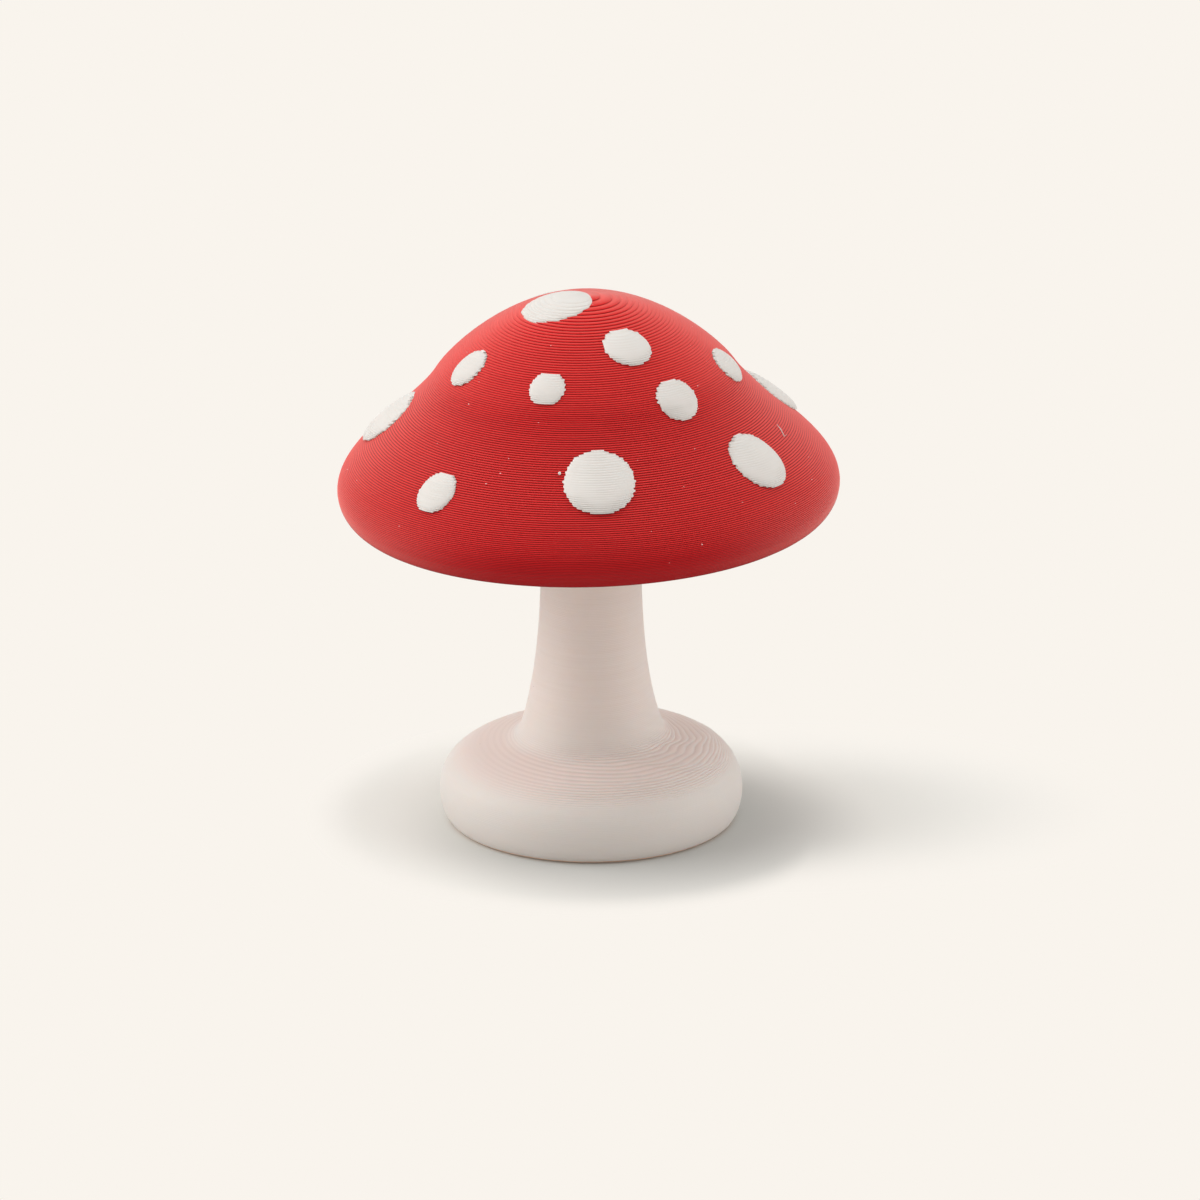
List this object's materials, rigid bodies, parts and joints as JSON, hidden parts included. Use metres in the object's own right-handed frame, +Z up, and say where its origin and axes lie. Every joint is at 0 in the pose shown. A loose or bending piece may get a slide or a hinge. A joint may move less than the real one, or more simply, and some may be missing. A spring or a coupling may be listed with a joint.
{
  "type": "mushroom ornament",
  "caption": "Small 3-D printed toadstool ornament: spotted bell cap that lifts off a peg on a flared stem with a disc foot.",
  "frame": {"origin": "middle of the foot's flat underside, on the surface that the ornament stands on", "axes": "+Z up along the stem, -Y towards the pictured front"},
  "size_m": [0.0572, 0.0572, 0.063],
  "materials": {
    "stem_print": "matt warm off-white print with fine layer lines",
    "cap_print": "matt red print with fine layer lines",
    "spot_print": "matt white print with fine layer lines"
  },
  "bodies": {
    "stem": {"stem": "stem_print"},
    "cap": {"cap": "cap_print", "spot_01": "spot_print", "spot_02": "spot_print", "spot_03": "spot_print", "spot_04": "spot_print", "spot_05": "spot_print", "spot_06": "spot_print", "spot_07": "spot_print", "spot_08": "spot_print", "spot_09": "spot_print", "spot_10": "spot_print", "spot_11": "spot_print", "spot_12": "spot_print", "spot_13": "spot_print", "spot_14": "spot_print", "spot_15": "spot_print", "spot_16": "spot_print", "spot_17": "spot_print", "spot_18": "spot_print"}
  },
  "joints": [
    {"name": "cap_lift", "type": "slide", "parent": "stem", "child": "cap", "axis": [0, 0, 1], "range_m": [0, 0.012]}
  ]
}
